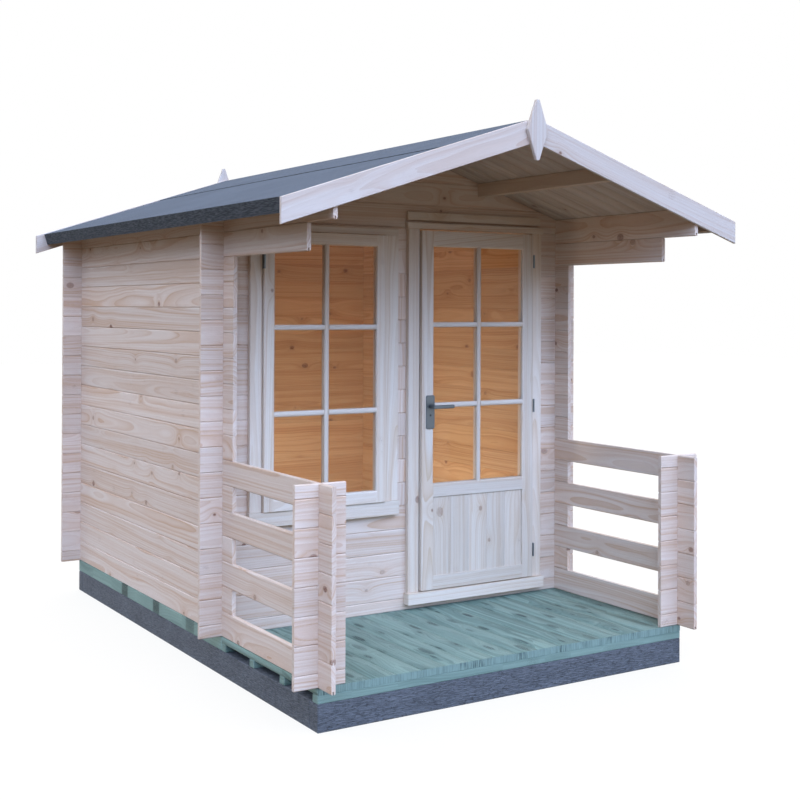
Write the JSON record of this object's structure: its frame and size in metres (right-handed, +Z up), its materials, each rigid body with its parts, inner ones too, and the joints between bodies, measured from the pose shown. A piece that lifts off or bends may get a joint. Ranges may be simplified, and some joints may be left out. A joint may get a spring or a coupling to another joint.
{
  "type": "log cabin",
  "caption": "Small garden cabin of interlocking pine logs, with a felted gable roof over a railed verandah, a paned window, a half-glazed door that swings outward and a deck on a plinth.",
  "frame": {"origin": "on the ground, under the centre of the whole cabin's box", "axes": "+Z up, the front with the verandah faces -Y, +X is the viewer's right when facing the front"},
  "size_m": [2.394, 3.23, 2.5433],
  "materials": {
    "pine_logs": "bare planed pine logs, pale and slightly weathered, with knots",
    "pine_joinery": "bare planed pine joinery",
    "pine_boards": "bare pine boards, sheltered and warmer in colour",
    "treated_timber": "pressure-treated green softwood",
    "plinth": "dark slate-grey beams with a fine ribbed face",
    "roof_felt": "blue-grey mineral roofing felt",
    "glass": "clear sheet glass",
    "hinge_steel": "dark grey hinges",
    "handle_steel": "satin grey handle furniture"
  },
  "bodies": {
    "cabin": {"plinth_ends": "plinth", "plinth_sides": "plinth", "floor_frame": "treated_timber", "cabin_floor": "pine_boards", "deck_joists": "treated_timber", "verandah_deck": "treated_timber", "left_wall": "pine_logs", "right_wall": "pine_logs", "left_post": "pine_logs", "right_post": "pine_logs", "front_wall_below_window": "pine_logs", "front_wall_left": "pine_logs", "front_wall_between": "pine_logs", "front_wall_right": "pine_logs", "front_wall_head": "pine_logs", "back_wall": "pine_logs", "front_gable": "pine_logs", "back_gable": "pine_logs", "purlins": "pine_boards", "right_roof_boards": "pine_boards", "left_roof_boards": "pine_boards", "eave_fascias": "pine_boards", "roof_felt": "roof_felt", "ridge_felt": "roof_felt", "front_barge_boards": "pine_joinery", "back_barge_boards": "pine_joinery", "front_finial": "pine_joinery", "back_finial": "pine_joinery", "window_jambs": "pine_joinery", "window_head": "pine_joinery", "window_sill": "pine_joinery", "window_sash": "pine_joinery", "window_glass": "glass", "window_hinges": "hinge_steel", "door_jambs": "pine_joinery", "door_head": "pine_joinery", "door_sill": "pine_joinery", "door_cover_board": "pine_joinery", "door_hinge_posts": "hinge_steel"},
    "door": {"door_leaf": "pine_joinery", "door_panel": "pine_joinery", "door_glass": "glass", "handle_plates": "handle_steel", "door_hinge_leaves": "hinge_steel"},
    "lever": {"door_levers": "handle_steel"}
  },
  "joints": [
    {"name": "door_swing", "type": "hinge", "parent": "cabin", "child": "door", "pos_m": [0.768, -0.6106, 0], "axis": [0, 0, 1], "range_deg": [0, 95]},
    {"name": "lever_turn", "type": "hinge", "parent": "door", "child": "lever", "pos_m": [0.124, -0.586, 1.1745], "axis": [0, 1, 0], "range_deg": [0, 40], "stiffness_Nm_per_rad": 1, "springref_deg": -34.38}
  ]
}
